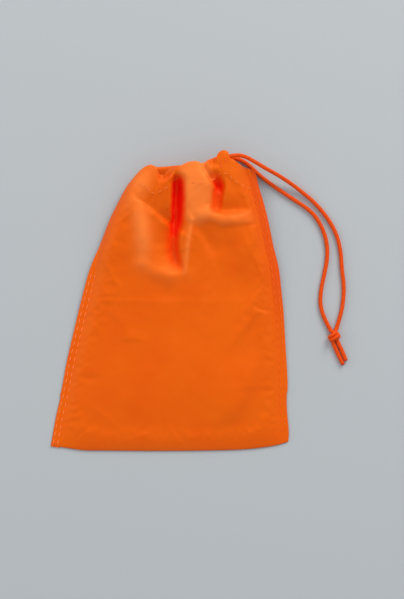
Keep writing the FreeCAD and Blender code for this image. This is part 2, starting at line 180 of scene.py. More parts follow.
FRONT_LIP = (
    (-21.0, 78.3), (-17.0, 81.4), (-13.4, 82.9), (-10.0, 82.1), (-7.6, 80.2), (-5.6, 77.2),
    (-2.8, 77.0), (0.8, 79.8), (4.0, 81.6), (6.8, 81.6), (9.6, 83.4), (13.4, 84.4), (17.8, 84.4),
    (20.4, 83.4), (22.6, 84.2), (25.0, 85.8), (27.8, 86.8), (29.2, 87.8), (29.9, 89.6),
    (31.3, 90.9), (33.4, 91.2), (35.3, 90.8), (36.6, 89.4), (37.3, 87.2), (40.0, 85.6),
    (42.8, 84.0), (46.0, 82.2), (49.2, 81.4), (52.9, 81.0),
)
BACK_LIP = (
    (-21.0, 78.3), (-17.0, 80.8), (-12.0, 82.4), (-7.0, 82.8), (-1.0, 83.2), (5.0, 83.6),
    (12.0, 83.6), (19.0, 83.6), (24.0, 84.4), (28.0, 86.0), (31.6, 88.6), (35.6, 87.6),
    (39.6, 84.4), (44.0, 82.4), (49.0, 81.2), (52.9, 81.0),
)

# Folds of the front. Each has the line it follows, its height along that line (negative for a
# valley), and the width and the steepness of its left and right flank as one walks the line.
# A fold with a painted highlight along its top says how strong it is, and so does a valley with a
# painted red glow of light in it.
FRONT_FOLDS = (
    # deep cleft left of the middle pleat: upper half with a steep right wall, then its pointed end
    dict(line=((5.4, 77.8), (5.0, 75.0), (4.6, 71.0), (4.5, 62.0), (3.9, 50.0), (3.2, 42.0)),
         height=(0, -5.5, -9.6, -10.4, -9.6, -2.0), left=(4.0, 2.4), right=(2.7, 7), painted_glow=1.0),
    dict(line=((3.6, 52.0), (2.9, 42.0), (3.0, 32.0), (4.4, 24.0), (6.6, 17.5)),
         height=(-2.0, -7.2, -6.6, -4.6, -0.6), left=(2.4, 3), right=(5.2, 1.7), painted_glow=0.55),
    dict(line=((3.0, 72.0), (2.6, 60.0), (2.0, 48.0), (2.0, 34.0), (4.8, 22.0)),
         height=(-0.4, -1.4, -1.8, -1.8, -0.4), left=(5.0, 2), right=(7.0, 1.7)),
    # middle pleat, the highest cloth of the front
    dict(line=((13.6, 88.0), (15.2, 80.0), (16.8, 72.0), (17.0, 56.0)),
         height=(0.5, 1.5, 1.6, 1.1), left=(8.8, 6), right=(8.8, 6), highlight_strength=1.0),
    # diagonal crease right of the pleat, ending in a second hollow
    dict(line=((18.8, 87.0), (22.2, 81.0), (25.2, 75.6)),
         height=(-0.9, -2.2, -3.0), left=(0.9, 2.6), right=(2.0, 2.2)),
    dict(line=((28.2, 76.0), (30.0, 71.0), (29.6, 65.6), (29.2, 57.5)),
         height=(-2.6, -7.4, -4.4, -2.6), left=(3.1, 4), right=(3.2, 3), painted_glow=0.85),
    # small pocket beside the cord's way out
    dict(line=((25.6, 88.4), (26.6, 85.0), (30.4, 83.6)), height=(-1.6, -2.6, -0.3),
         left=(1.5, 2), right=(1.5, 2.2)),
    # notch of the lip, and the ridge between it and the cleft
    dict(line=((-5.6, 81.0), (-4.4, 75.5), (-0.4, 77.0), (3.6, 80.4)), height=(-2.6, -3.8, -3.0, -0.6),
         left=(2.6, 2), right=(1.3, 2.6)),
    dict(line=((-2.8, 72.4), (1.2, 76.4), (4.6, 81.2)), height=(0.3, 1.3, 0.6),
         left=(1.4, 2), right=(1.3, 2)),
    # trough above the right-hand lip of cloth
    dict(line=((27.5, 57.0), (33.5, 55.4), (41.0, 56.0), (50.0, 58.0)), height=(-1.6, -2.6, -2.2, -0.4),
         left=(6.0, 1.7), right=(1.8, 2.2)),
    # right-hand lip of cloth, the slope that hangs from it and the creases it runs into
    dict(line=((13.6, 52.4), (20.0, 52.6), (27.0, 51.8), (33.5, 49.8), (40.0, 50.4), (48.5, 51.0),
               (54.0, 52.5)),
         height=(0.6, 1.5, 1.7, 1.7, 1.7, 1.3, 0.2), left=(3.6, 3), right=(3.4, 5), highlight_strength=0.35),
    dict(line=((17.0, 47.0), (21.0, 41.0), (25.0, 34.0), (27.8, 25.4)), height=(-1.2, -2.2, -1.8, -0.2),
         left=(10.0, 1.5), right=(2.8, 1.7)),
    dict(line=((25.0, 32.0), (36.0, 32.5), (47.0, 37.5)), height=(-2.0, -2.5, -0.7),
         left=(13.5, 2.2), right=(21.0, 1.6)),
    # thin crest between the cleft and the slope
    dict(line=((13.7, 50.0), (12.7, 42.0), (11.2, 31.5), (9.7, 18.0)), height=(0.9, 1.6, 1.8, 0.9),
         left=(1.1, 1.8), right=(1.5, 1.6), highlight_strength=0.7),
    # crease that runs into the cleft from the left
    dict(line=((-21.5, 64.4), (-16.0, 60.6), (-8.0, 54.6), (1.5, 47.6)), height=(-0.2, -1.4, -2.8, -4.8),
         left=(8.0, 1.3), right=(1.1, 2.4)),
    # rounded shoulder of the hem, rounded band left of the basin, and the basin
    dict(line=((-13.0, 80.5), (-17.0, 72.0), (-20.5, 66.0)), height=(0.6, 1.3, 0.4),
         left=(5.0, 2), right=(5.5, 2), highlight_strength=0.8),
    dict(line=((-20.6, 60.0), (-17.4, 50.0), (-16.0, 38.0), (-16.6, 25.0)), height=(1.2, 2.4, 2.6, 1.0),
         left=(5.0, 2), right=(5.0, 2), highlight_strength=0.9),
    dict(line=((-6.6, 48.0), (-6.0, 36.0), (-3.0, 25.0)), height=(-2.0, -2.6, -1.2),
         left=(7.0, 2), right=(6.0, 2)),
    # curved rim that closes the basin at the bottom, and the flat below it
    dict(line=((-17.0, 23.0), (-9.0, 18.4), (0.0, 16.2), (9.7, 16.4)),
         height=(0.9, 1.3, 1.3, 0.5), left=(3.8, 2), right=(5.0, 1.6), highlight_strength=0.2),
    dict(line=((-8.0, 11.0), (-2.0, 7.0), (6.0, 11.5)), height=(-0.8, -1.3, -0.5),
         left=(5.0, 2), right=(7.0, 2)),
    # long soft swell up the right side
    dict(line=((34.0, 18.0), (46.0, 28.0), (54.0, 42.0)), height=(0.2, 1.1, 0.9),
         left=(6.0, 2), right=(6.0, 2)),
    # press crease across the middle and light creases in the plain part
    dict(line=((-50.0, 0.8), (-20.0, 0.4), (15.0, 0.0), (60.0, 0.4)), height=(0.1, 0.25, 0.25, 0.15),
         left=(0.9, 1.2), right=(2.6, 1.2)),
    dict(line=((-34.0, -25.5), (-24.0, -23.4), (-12.0, -25.4)), height=(0, 0.6, 0),
         left=(4.5, 1.5), right=(1.0, 1.5)),
    dict(line=((-56.0, -58.0), (-40.0, -71.0), (-26.0, -84.0)), height=(0, 0.6, 0),
         left=(1.0, 1.2), right=(3.4, 1.4)),
    dict(line=((36.0, -54.5), (52.0, -53.0), (69.0, -54.0)), height=(0, 0.5, 0),
         left=(2.4, 1.5), right=(1.2, 1.5)),
    dict(line=((-58.0, -47.0), (-50.0, -48.5), (-41.0, -48.0)), height=(0, -0.9, 0),
         left=(3.0, 2), right=(2.0, 2)),
    dict(line=((24.0, -80.0), (38.0, -68.0), (50.0, -48.0), (58.0, -30.0)), height=(0.2, 1.5, 1.7, 0.2),
         left=(10.0, 2), right=(7.0, 2)),
    dict(line=((52.5, -2.5), (57.0, -5.2), (62.0, -6.0)), height=(-0.2, -0.8, -0.2),
         left=(1.2, 1.6), right=(1.6, 1.6)),
    dict(line=((61.0, -12.0), (60.0, -22.0), (61.0, -36.0)), height=(-0.1, -0.6, -0.1),
         left=(3.0, 2), right=(1.4, 1.6)),
)

# Folds of the back, given in the same way.
BACK_FOLDS = (
    dict(line=((8.0, 84.0), (6.0, 60.0), (4.0, 38.0)), height=(2.0, 2.4, 0),
         left=(4.0, 2), right=(4.0, 2)),
    dict(line=((-10.0, 82.0), (-14.0, 60.0), (-20.0, 34.0)), height=(1.6, 2.0, 0),
         left=(5.0, 2), right=(4.0, 2)),
    dict(line=((27.0, 86.0), (27.0, 64.0), (32.0, 40.0)), height=(1.6, 2.0, 0),
         left=(4.0, 2), right=(5.0, 2)),
)


# ---------------------------------------------------------------- camera, floor and light
def set_camera():
    """A camera that looks straight down on the middle of the sack and its cord."""
    data = bpy.data.cameras.new("camera")
    data.lens = 60
    data.sensor_width = 36
    eye = bpy.data.objects.new("camera", data)
    eye.location = (0.020, 0.001, 0.624)
    bpy.context.scene.collection.objects.link(eye)
    bpy.context.scene.camera = eye


def soft_lamp(name, place, size, power, colour):
    """A large square lamp that looks at the sack."""
    data = bpy.data.lights.new(name, "AREA")
    data.shape = "SQUARE"
    data.size = size
    data.energy = power
    data.color = colour
    lamp = bpy.data.objects.new(name, data)
    lamp.location = place
    lamp.rotation_mode = "QUATERNION"
    lamp.rotation_quaternion = Vector(place).to_track_quat("Z", "Y")
    bpy.context.scene.collection.objects.link(lamp)


def set_studio():
    """Pale table, daylight from a big window at the head of the table, and soft room light."""
    scene = bpy.context.scene
    scene.view_settings.view_transform = "Standard"
    world = bpy.data.worlds.new("room")
    world.use_nodes = True
    background = world.node_tree.nodes["Background"]
    background.inputs["Color"].default_value = (0.90, 0.95, 1.0, 1)
    background.inputs["Strength"].default_value = 0.66
    scene.world = world
    soft_lamp("window", (0.75, 1.35, 1.05), 1.0, 22.0, (1.0, 0.985, 0.96))
    soft_lamp("far_window", (-1.45, 0.45, 0.75), 1.2, 6.5, (1.0, 0.98, 0.97))

    top = bmesh.new()
    bmesh.ops.create_grid(top, x_segments=1, y_segments=1, size=2.5)
    mesh = bpy.data.meshes.new("table")
    top.to_mesh(mesh)
    top.free()
    mesh.materials.append(plain_finish("table_top", (0.475, 0.492, 0.500), 0.8))
    table = bpy.data.objects.new("table", mesh)
    scene.collection.objects.link(table)
    table.location.z = -0.0001


# ---------------------------------------------------------------- finishes
def new_finish(name):
    """A new node material with its nodes, its links and its Principled shader."""
    finish = bpy.data.materials.new(name)
    finish.use_nodes = True
    nodes = finish.node_tree.nodes
    return finish, nodes, finish.node_tree.links, nodes["Principled BSDF"]


def plain_finish(name, colour, roughness):
    """An even, hardly glossy finish for thread, melted cord and the table."""
    finish, _, _, shader = new_finish(name)
    shader.inputs["Base Color"].default_value = (*colour, 1)
    shader.inputs["Roughness"].default_value = roughness
    shader.inputs["Specular IOR Level"].default_value = 0.2
    return finish


def plain_weave_group():
    """Plain weave: fine over-and-under threads, and a slow drift of colour over the cloth."""
    group = bpy.data.node_groups.new("plain_weave", "ShaderNodeTree")
    group.interface.new_socket("Thread Pitch", in_out="INPUT", socket_type="NodeSocketFloat")
    group.interface.new_socket("Drift", in_out="INPUT", socket_type="NodeSocketFloat")
    group.interface.new_socket("Height", in_out="OUTPUT", socket_type="NodeSocketFloat")
    group.interface.new_socket("Tone", in_out="OUTPUT", socket_type="NodeSocketFloat")
    nodes, links = group.nodes, group.links
    given = nodes.new("NodeGroupInput")
    made = nodes.new("NodeGroupOutput")
    place = nodes.new("ShaderNodeTexCoord")
    pitch = nodes.new("ShaderNodeMath")
    pitch.operation = "DIVIDE"
    pitch.inputs[0].default_value = math.pi
    links.new(given.outputs["Thread Pitch"], pitch.inputs[1])
    across = nodes.new("ShaderNodeVectorMath")
    across.operation = "SCALE"
    links.new(place.outputs["Object"], across.inputs[0])
    links.new(pitch.outputs[0], across.inputs["Scale"])
    split = nodes.new("ShaderNodeSeparateXYZ")
    links.new(across.outputs[0], split.inputs[0])
    threads = []
    for axis in ("X", "Y"):
        wave = nodes.new("ShaderNodeMath")
        wave.operation = "SINE"
        links.new(split.outputs[axis], wave.inputs[0])
        threads.append(wave)
    weave = nodes.new("ShaderNodeMath")
    weave.operation = "MULTIPLY"
    links.new(threads[0].outputs[0], weave.inputs[0])
    links.new(threads[1].outputs[0], weave.inputs[1])
    links.new(weave.outputs[0], made.inputs["Height"])
    cloud = nodes.new("ShaderNodeTexNoise")
    cloud.inputs["Scale"].default_value = 38
    cloud.inputs["Detail"].default_value = 4
    links.new(place.outputs["Object"], cloud.inputs["Vector"])
    centred = nodes.new("ShaderNodeMath")
    centred.operation = "SUBTRACT"
    centred.inputs[1].default_value = 0.5
    links.new(cloud.outputs["Fac"], centred.inputs[0])
    drift = nodes.new("ShaderNodeMath")
    drift.operation = "MULTIPLY_ADD"
    drift.inputs[2].default_value = 0.5
    links.new(centred.outputs[0], drift.inputs[0])
    links.new(given.outputs["Drift"], drift.inputs[1])
    links.new(drift.outputs[0], made.inputs["Tone"])
    return group


def cloth_finish(name, weave, dark, light, painted_highlight, doubled, painted_glow):
    """Coated nylon with a fine weave, deeper where doubled; painted highlights on fold tops, painted
    glow in folds.
    """
    finish, nodes, links, shader = new_finish(name)
    cloth = nodes.new("ShaderNodeGroup")
    cloth.node_tree = weave
    cloth.inputs["Thread Pitch"].default_value = 0.00045
    cloth.inputs["Drift"].default_value = 1.1
    colour = nodes.new("ShaderNodeMix")
    colour.data_type = "RGBA"
    colour.inputs["A"].default_value = (*dark, 1)
    colour.inputs["B"].default_value = (*light, 1)
    links.new(cloth.outputs["Tone"], colour.inputs["Factor"])
    tone = colour.outputs["Result"]
    # Painted light: a pale highlight along the tops of folds, and a red glow of light through the cloth
    # deep in folds.
    for mask, shade in (("painted_highlight", painted_highlight), ("doubled", doubled), ("painted_glow", painted_glow)):
        amount = nodes.new("ShaderNodeAttribute")
        amount.attribute_name = mask
        mix = nodes.new("ShaderNodeMix")
        mix.data_type = "RGBA"
        mix.inputs["B"].default_value = (*shade, 1)
        links.new(amount.outputs["Fac"], mix.inputs["Factor"])
        links.new(tone, mix.inputs["A"])
        tone = mix.outputs["Result"]
    links.new(tone, shader.inputs["Base Color"])
    bump = nodes.new("ShaderNodeBump")
    bump.inputs["Strength"].default_value = 0.25
    bump.inputs["Distance"].default_value = 0.00004
    links.new(cloth.outputs["Height"], bump.inputs["Height"])
    links.new(bump.outputs["Normal"], shader.inputs["Normal"])
    shader.inputs["Roughness"].default_value = 0.55
    shader.inputs["Specular IOR Level"].default_value = 0.75
    shader.inputs["Specular Tint"].default_value = (1.0, 0.55, 0.12, 1)
    shader.inputs["Sheen Weight"].default_value = 0.06
    shader.inputs["Sheen Roughness"].default_value = 0.4
    shader.inputs["Sheen Tint"].default_value = (1.0, 0.5, 0.2, 1)
    return finish


def cord_finish(name, dark, light):
    """Braided cord: small crossing plaits, with painted shade in the grooves between them."""
    finish, nodes, links, shader = new_finish(name)
    place = nodes.new("ShaderNodeTexCoord")
    plait = nodes.new("ShaderNodeTexVoronoi")
    plait.inputs["Scale"].default_value = 1400
    links.new(place.outputs["Object"], plait.inputs["Vector"])
    # Painted shade: each plait darkens towards its edge, in the groove between plaits.
    colour = nodes.new("ShaderNodeMix")
    colour.data_type = "RGBA"
    colour.inputs["A"].default_value = (*light, 1)
    colour.inputs["B"].default_value = (*dark, 1)
    links.new(plait.outputs["Distance"], colour.inputs["Factor"])
    links.new(colour.outputs["Result"], shader.inputs["Base Color"])
    bump = nodes.new("ShaderNodeBump")
    bump.inputs["Strength"].default_value = 0.4
    bump.inputs["Distance"].default_value = 0.0001
    bump.invert = True
    links.new(plait.outputs["Distance"], bump.inputs["Height"])
    links.new(bump.outputs["Normal"], shader.inputs["Normal"])
    shader.inputs["Roughness"].default_value = 0.6
    shader.inputs["Specular Tint"].default_value = (1.0, 0.4, 0.1, 1)
    shader.inputs["Sheen Weight"].default_value = 0.05
    shader.inputs["Sheen Tint"].default_value = (1.0, 0.4, 0.1, 1)
    return finish


# ---------------------------------------------------------------- shaping helpers
def soft_line(points, count):
    """Evenly spaced places along a smooth curve that passes through the given points."""
    given = np.array(points, float)
    padded = np.vstack([2 * given[0] - given[1], given, 2 * given[-1] - given[-2]])
    steps = np.linspace(0, 1, CURVE_STEPS, endpoint=False)[:, None]
    pieces = []
    for i in range(len(given) - 1):
        a, b, c, d = padded[i : i + 4]
        pieces.append(
            0.5 * (2 * b + (c - a) * steps + (2 * a - 5 * b + 4 * c - d) * steps**2
                   + (3 * b - a - 3 * c + d) * steps**3)
        )
    dense = np.vstack(pieces + [given[-1:]])
    run = np.concatenate([[0], np.cumsum(np.linalg.norm(np.diff(dense, axis=0), axis=1))])
    wanted = np.linspace(0, run[-1], count)
    return np.stack([np.interp(wanted, run, dense[:, k]) for k in range(dense.shape[1])], axis=1)


def unit(ways):
    """The same directions with a length of 1."""
    return ways / np.linalg.norm(ways, axis=1)[:, None]


class Patch:
    """The sack's plan between its two side edges, its bottom fold and a lip."""

    def __init__(self, lip):
        self.share = np.linspace(0, 1, EDGE_STEPS)
        self.left = soft_line(LEFT_EDGE, EDGE_STEPS)
        self.right = soft_line(RIGHT_EDGE, EDGE_STEPS)
        self.bottom = soft_line(BOTTOM_FOLD, EDGE_STEPS)
        self.top = soft_line(lip, EDGE_STEPS)

    def along(self, line, share):
        """Plan place at a share of an edge's length."""
        return np.stack([np.interp(share, self.share, line[:, k]) for k in (0, 1)], axis=-1)

    def place(self, u, v):
        """Plan place for u across from left to right and v up from the fold to the lip."""
        uu, vv = u[..., None], v[..., None]
        corners = (
            (1 - uu) * (1 - vv) * self.left[0] + uu * (1 - vv) * self.right[0]
            + (1 - uu) * vv * self.left[-1] + uu * vv * self.right[-1]
        )
        return (
            (1 - vv) * self.along(self.bottom, u) + vv * self.along(self.top, u)
            + (1 - uu) * self.along(self.left, v) + uu * self.along(self.right, v) - corners
        )


def fold_height(places, fold):
    """Height that one fold adds at the given plan places."""
    line = soft_line(fold["line"], FOLD_STEPS)
    corners = np.array(fold["line"], float)
    lengths = np.concatenate([[0], np.cumsum(np.linalg.norm(np.diff(corners, axis=0), axis=1))])
    shares = np.linspace(0, 1, FOLD_STEPS)
    heights = np.interp(shares, lengths / lengths[-1], fold["height"])
    best = np.full(len(places), np.inf)
    side = np.zeros(len(places))
    height = np.zeros(len(places))
    for a, b, ha, hb in zip(line[:-1], line[1:], heights[:-1], heights[1:]):
        way = b - a
        share = np.clip((places - a) @ way / (way @ way), 0, 1)
        off = places - a - share[:, None] * way
        distance = np.linalg.norm(off, axis=1)
        nearer = distance < best
        best[nearer] = distance[nearer]
        side[nearer] = (way[0] * off[:, 1] - way[1] * off[:, 0])[nearer]
        height[nearer] = (ha + share * (hb - ha))[nearer]
    (wide_left, steep_left), (wide_right, steep_right) = fold["left"], fold["right"]
    wide = np.where(side > 0, wide_left, wide_right)
    steep = np.where(side > 0, steep_left, steep_right)
    return height * np.exp(-((best / wide) ** steep))


def ripple(places, size, seed):
    """Slow uneven waves, the same on every run."""
    return np.array([noise.noise(Vector((x / size, y / size, seed))) for x, y in places])


def crumple(lie):
    """Small sharp creases of thin coated cloth, more of them towards the mouth."""
    sharp = 0.3 - np.abs(ripple(lie.place, 15, 4.4)) - 0.6 * np.abs(ripple(lie.place, 8, 9.2))
    near_mouth = np.clip((lie.v - 0.45) / 0.3, 0, 1)
    return (0.25 + 0.75 * near_mouth) * 0.7 * sharp


def gathers(lie):
    """Short uneven pleats that hang from the cord and fade a little way below the hem."""
    wander = 0.05 * ripple(lie.place, 20, 6.3)
    u = lie.left / (lie.left + lie.right + 1e-6)
    pleats = np.abs(np.sin(math.pi * GATHER_COUNT * (u + wander))) - 0.6
    strength = np.clip(0.45 + 0.9 * ripple(lie.place, 17, 2.2), 0, 1)
    below = (1 - lie.v) * SACK_LENGTH
    return GATHER_HEIGHT * strength * pleats * np.exp(-((below / GATHER_REACH) ** 2))


def swell(distance, start, reach):
    """Rises from 0 at start towards 1, as cloth lifts off a flat seam."""
    return 1 - np.exp(-np.clip(distance - start, 0, None) / reach)


def seam_level(v):
    """Middle height of the side seams: flat on the table at the fold, lifted by the mouth."""
    return SEAM_THICKNESS / 2 + 0.15 + (SEAM_LIFT - SEAM_THICKNESS / 2) * np.clip(v, 0, 1) ** 2.2


class Lie:
    """Where points of a sheet lie: plan place, share v of the length, and distance to each edge."""

    def __init__(self, patch, u, v):
        self.place = patch.place(u, v)
        self.v = v
        self.left = np.linalg.norm(self.place - patch.place(np.zeros_like(u), v), axis=1)
        self.right = np.linalg.norm(self.place - patch.place(np.ones_like(u), v), axis=1)
        self.fold = np.linalg.norm(self.place - patch.place(u, np.zeros_like(v)), axis=1)


def seam_body(lie):
    """Half the thickness of the sewn edge: nothing at the edge itself, full just inside it."""
    sides = SEAM_THICKNESS / 2 * swell(lie.left, 0, 0.6) * swell(lie.right, 0, 0.6)
    return sides * swell(lie.fold, 0, 0.6)


def rolled_under(v):
    """How far the left seam is rolled under: not at all at the fold, wholly by the mouth."""
    return 1 / (1 + np.exp(-(v - LEFT_TURN) / TURN_REACH))


def seam_band(lie):
    """Share of the right seam allowance that is turned to the front, four layers thick."""
    inner = 1 / (1 + np.exp((lie.right - SEAM_WIDTH + 0.4) / 0.22))
    return inner * np.clip((lie.v - 0.36) / 0.22, 0, 1)


def pucker(lie, distance, inset, depth):
    """Small gathers where a row of stitches pulls the cloth down."""
    along = np.sin(2 * math.pi * lie.v * SACK_LENGTH / STITCH_PITCH)
    return -depth * (0.65 + 0.35 * along) * np.exp(-(((distance - inset) / PUCKER_REACH) ** 2))


def front_height(lie):
    """Height of the outer face of the front."""
    rise = 1 + np.exp(-(lie.place[:, 1] - RISE_MIDDLE) / RISE_REACH)
    crown = LOW_CROWN + (HIGH_CROWN - LOW_CROWN) / rise
    flatter = 5 * np.clip(1 - 1.6 * lie.v, 0, 1)
    left_start = FLAT_BAND * (1 - 0.95 * rolled_under(lie.v))
    lift = swell(lie.left, left_start, 7.0 + flatter) * swell(lie.right, FLAT_BAND, 6.0 + flatter)
    lift = lift * swell(lie.fold, 0.6, 16.0)
    base = seam_level(lie.v) + seam_body(lie)
    folds = sum(fold_height(lie.place, fold) for fold in FRONT_FOLDS)
    waves = 1.1 * ripple(lie.place, 34, 3.1) + 0.28 * ripple(lie.place, 13, 8.7)
    waves = waves + 0.1 * ripple(lie.place, 6, 5.5) + crumple(lie) + gathers(lie)
    face = base + (crown - base) * lift + (folds + waves) * np.clip(lift * 1.25, 0, 1)
    floor = BACK_CLEARANCE * np.clip(lie.v * 3, 0, 1)
    face = np.where(lift > 0.25, np.maximum(face, floor + 0.2 * (face - floor)), face)
    shown_rows = 1 - rolled_under(lie.v)
    face = face + pucker(lie, lie.left, OUTER_ROW, 0.3) * shown_rows
    face = face + pucker(lie, lie.left, INNER_ROW, 0.35) * shown_rows
    edge = swell(lie.right, 0, 0.5)
    return face + seam_band(lie) * edge * (0.55 + 0.14 * lie.right)


def back_height(lie):
    """Height of the outer face of the back, which rests on the table."""
    lift = swell(lie.left, FLAT_BAND, 5.0) * swell(lie.right, FLAT_BAND, 5.0)
    lift = lift * swell(lie.fold, 0.6, 6.0)
    base = seam_level(lie.v) - seam_body(lie)
    folds = sum(fold_height(lie.place, fold) for fold in BACK_FOLDS)
    waves = 0.25 + 0.25 * ripple(lie.place, 30, 1.7)
    return base + (np.clip(waves + folds * 0.5, 0.15, None) - base) * lift


def sheet_masks(lie, run, is_front):
    """Shares from 0 to 1: painted glow in a fold, doubled, painted highlight on a fold's top, and held
    while the cloth settles.
    """
    hollow = crest = layers = np.zeros(len(run))
    if is_front:
        # The folds listed for a painted red glow of light in their hollows, and those listed for a
        # painted highlight along their tops.
        glowing = [fold for fold in FRONT_FOLDS if "painted_glow" in fold]
        highlight_strength = [fold for fold in FRONT_FOLDS if "highlight_strength" in fold]
        hollow = sum(-fold["painted_glow"] * fold_height(lie.place, fold) for fold in glowing)
        crest = sum(fold["highlight_strength"] / max(fold["height"]) * fold_height(lie.place, fold) for fold in highlight_strength)
        layers = seam_band(lie)
    loose = swell(lie.left, 3, 5) * swell(lie.right, 3, 5) * swell(lie.fold, 2, 5)
    loose = loose * np.clip((SACK_LENGTH - run - 4) / 12, 0, 1)
    return {
        "painted_glow": np.clip((hollow - 0.4) / 5.5, 0, 1),
        "doubled": layers,
        "painted_highlight": np.tanh(np.clip(crest, 0, None) * 1.2),
        "held_fast": 1 - loose,
    }


def sewn_sheet(patch, outer_height, inner_side, roll_radius):
    """One face of the sack as a grid: fold to lip, over the lip, and down inside as the hem.

    inner_side is -1 where the inside of the sack is below the face and 1 where it is above.
    """
    is_front = inner_side < 0
    mesh = bmesh.new()
    bmesh.ops.create_grid(mesh, x_segments=COLUMNS, y_segments=ROWS, size=0.5)
    uv = np.array([v.co[:2] for v in mesh.verts]) + 0.5
    turn = math.pi * roll_radius
    total = SACK_LENGTH + turn + HEM_DEPTH - 1
    run = uv[:, 1] * total
    u = uv[:, 0]
    past_lip = np.clip(run - SACK_LENGTH, 0, turn) / turn * math.pi
    inside = np.clip(run - SACK_LENGTH - turn, 0, None)
    v = np.clip(run / SACK_LENGTH, 0, 1) - inside / SACK_LENGTH

    def face(u, v):
        lie = Lie(patch, u, v)
        return np.column_stack([lie.place, outer_height(lie)])

    step = 0.004
    points = face(u, v)
    across = face(np.clip(u + step, 0, 1), v) - face(np.clip(u - step, 0, 1), v)
    along = face(u, np.clip(v + step, 0, 1)) - face(u, np.clip(v - step, 0, 1))
    inward = unit(np.cross(across, along) * inner_side)
    outward = unit(along * np.array([1, 1, 0]))
    lie = Lie(patch, u, v)
    open_hem = np.clip(lie.left / 4, 0, 1) * np.clip(lie.right / 4, 0, 1)
    room = np.clip((points[:, 2] - BACK_CLEARANCE) / 7, LEAST_ROLL, 1) if is_front else 1
    roll = roll_radius * (LEAST_ROLL + (1 - LEAST_ROLL) * open_hem) * room
    closing = np.clip(inside / HEM_DEPTH, 0, 1) ** 2
    gap = roll * (1 - np.cos(past_lip)) - (2 * roll - HEM_GAP) * closing
    points = points + outward * (roll * np.sin(past_lip))[:, None] + inward * gap[:, None]
    masks = sheet_masks(lie, run, is_front)
    layers = {name: mesh.verts.layers.float.new(name) for name in masks}
    for k, vert in enumerate(mesh.verts):
        vert.co = points[k] * MM
        for name, layer in layers.items():
            vert[layer] = masks[name][k]
    return mesh


def shown(name, mesh):
    """A finished bmesh as an object in the scene, smooth shaded."""
    data = bpy.data.meshes.new(name)
    mesh.to_mesh(data)
    mesh.free()
    data.shade_smooth()
    piece = bpy.data.objects.new(name, data)
    bpy.context.scene.collection.objects.link(piece)
    return piece


def joined(sheets, weld):
    """One bmesh from several, welded where their edges meet."""
    whole = bmesh.new()
    for part in sheets:
        mesh = bpy.data.meshes.new("loose")
        part.to_mesh(mesh)
        part.free()
        whole.from_mesh(mesh)
        bpy.data.meshes.remove(mesh)
    bmesh.ops.remove_doubles(whole, verts=whole.verts, dist=weld)
    bmesh.ops.recalc_face_normals(whole, faces=whole.faces)
    return whole


def settle(piece, held):
    """Lets the cloth slacken a little under its own weight, held at its seams and hems."""
    scene = bpy.context.scene
    group = piece.vertex_groups.new(name="held")
    for index, amount in enumerate(held):
        group.add([index], float(amount), "REPLACE")
    start = np.array([v.co for v in piece.data.vertices])
    cloth = piece.modifiers.new("settle", "CLOTH")
    fabric = cloth.settings
    fabric.quality = 5
    fabric.mass = 0.02
    fabric.air_damping = 2
    fabric.tension_stiffness = 12
    fabric.compression_stiffness = 12
    fabric.shear_stiffness = 6
    fabric.bending_stiffness = 0.02
    fabric.vertex_group_mass = "held"
    fabric.pin_stiffness = 1
    fabric.shrink_min = -SLACK
    fabric.effector_weights.gravity = 0.15
    cloth.collision_settings.use_collision = False
    cloth.point_cache.frame_start = 1
    cloth.point_cache.frame_end = SETTLE_FRAMES
    for now in range(1, SETTLE_FRAMES + 1):
        scene.frame_set(now)
    graph = bpy.context.evaluated_depsgraph_get()
    settled = np.array([v.co for v in piece.evaluated_get(graph).data.vertices])
    piece.modifiers.remove(cloth)
    piece.vertex_groups.remove(group)
    scene.frame_set(1)
    move = settled - start
    move[~np.isfinite(move).all(axis=1)] = 0
    far = np.linalg.norm(move, axis=1)[:, None]
    most = MOST_SETTLE * MM
    move *= most * np.tanh(far / most) / np.maximum(far, 1e-9)
    places = start + move * (1 - np.array(held))[:, None]
    places[:, 2] = np.maximum(places[:, 2], LEAST_HEIGHT * MM)
    piece.data.vertices.foreach_set("co", places.ravel())
    piece.data.update()


def surface_of(piece):
    """The piece's final surface, for threads to be laid on."""
    graph = bpy.context.evaluated_depsgraph_get()
    return BVHTree.FromObject(piece, graph)


def lay_on(surface, x, y, lift=0.0, from_above=True):
    """The surface's point over or under (x, y), in millimetres, raised by lift, and its normal."""
    start, way = (0.1, -1) if from_above else (-0.1, 1)
    hit, normal, _, _ = surface.ray_cast(Vector((x * MM, y * MM, start)), Vector((0, 0, way)))
    if hit is None:
        return None, None
    if normal.z * way > 0:
        normal = -normal
    return hit + normal * lift * MM, normal


# ---------------------------------------------------------------- sewing
def offset_line(line, inset, start, end):
    """A line beside an edge, inset to its right as one walks it, from share start to end."""
    dense = soft_line(line, EDGE_STEPS)
    way = unit(np.gradient(dense, axis=0))
    beside = dense + inset * np.column_stack([way[:, 1], -way[:, 0]])
    last = EDGE_STEPS - 1
    return beside[int(start * last) : int(end * last) + 1]


def stitch_row(mesh, surface, line, from_above=True, length=3.6, pitch=STITCH_PITCH, width=0.6,
               height=0.42):
    """Lockstitches: short rounded threads that sit a little sunk in the cloth.

    One whose ends fall on different folds, and would hang between them, is left out.
    """
    run = np.concatenate([[0], np.cumsum(np.linalg.norm(np.diff(line, axis=0), axis=1))])
    for k in range(int((run[-1] - length) / pitch) + 1):
        ends = []
        for distance in (k * pitch, k * pitch + length):
            x, y = (np.interp(distance, run, line[:, i]) for i in (0, 1))
            ends.append(lay_on(surface, x, y, height * 0.25, from_above))
        (a, up), (b, _) = ends
        if a is not None and b is not None and (b - a).length < 1.25 * length * MM:
            stitch(mesh, a, b, up, width, height)


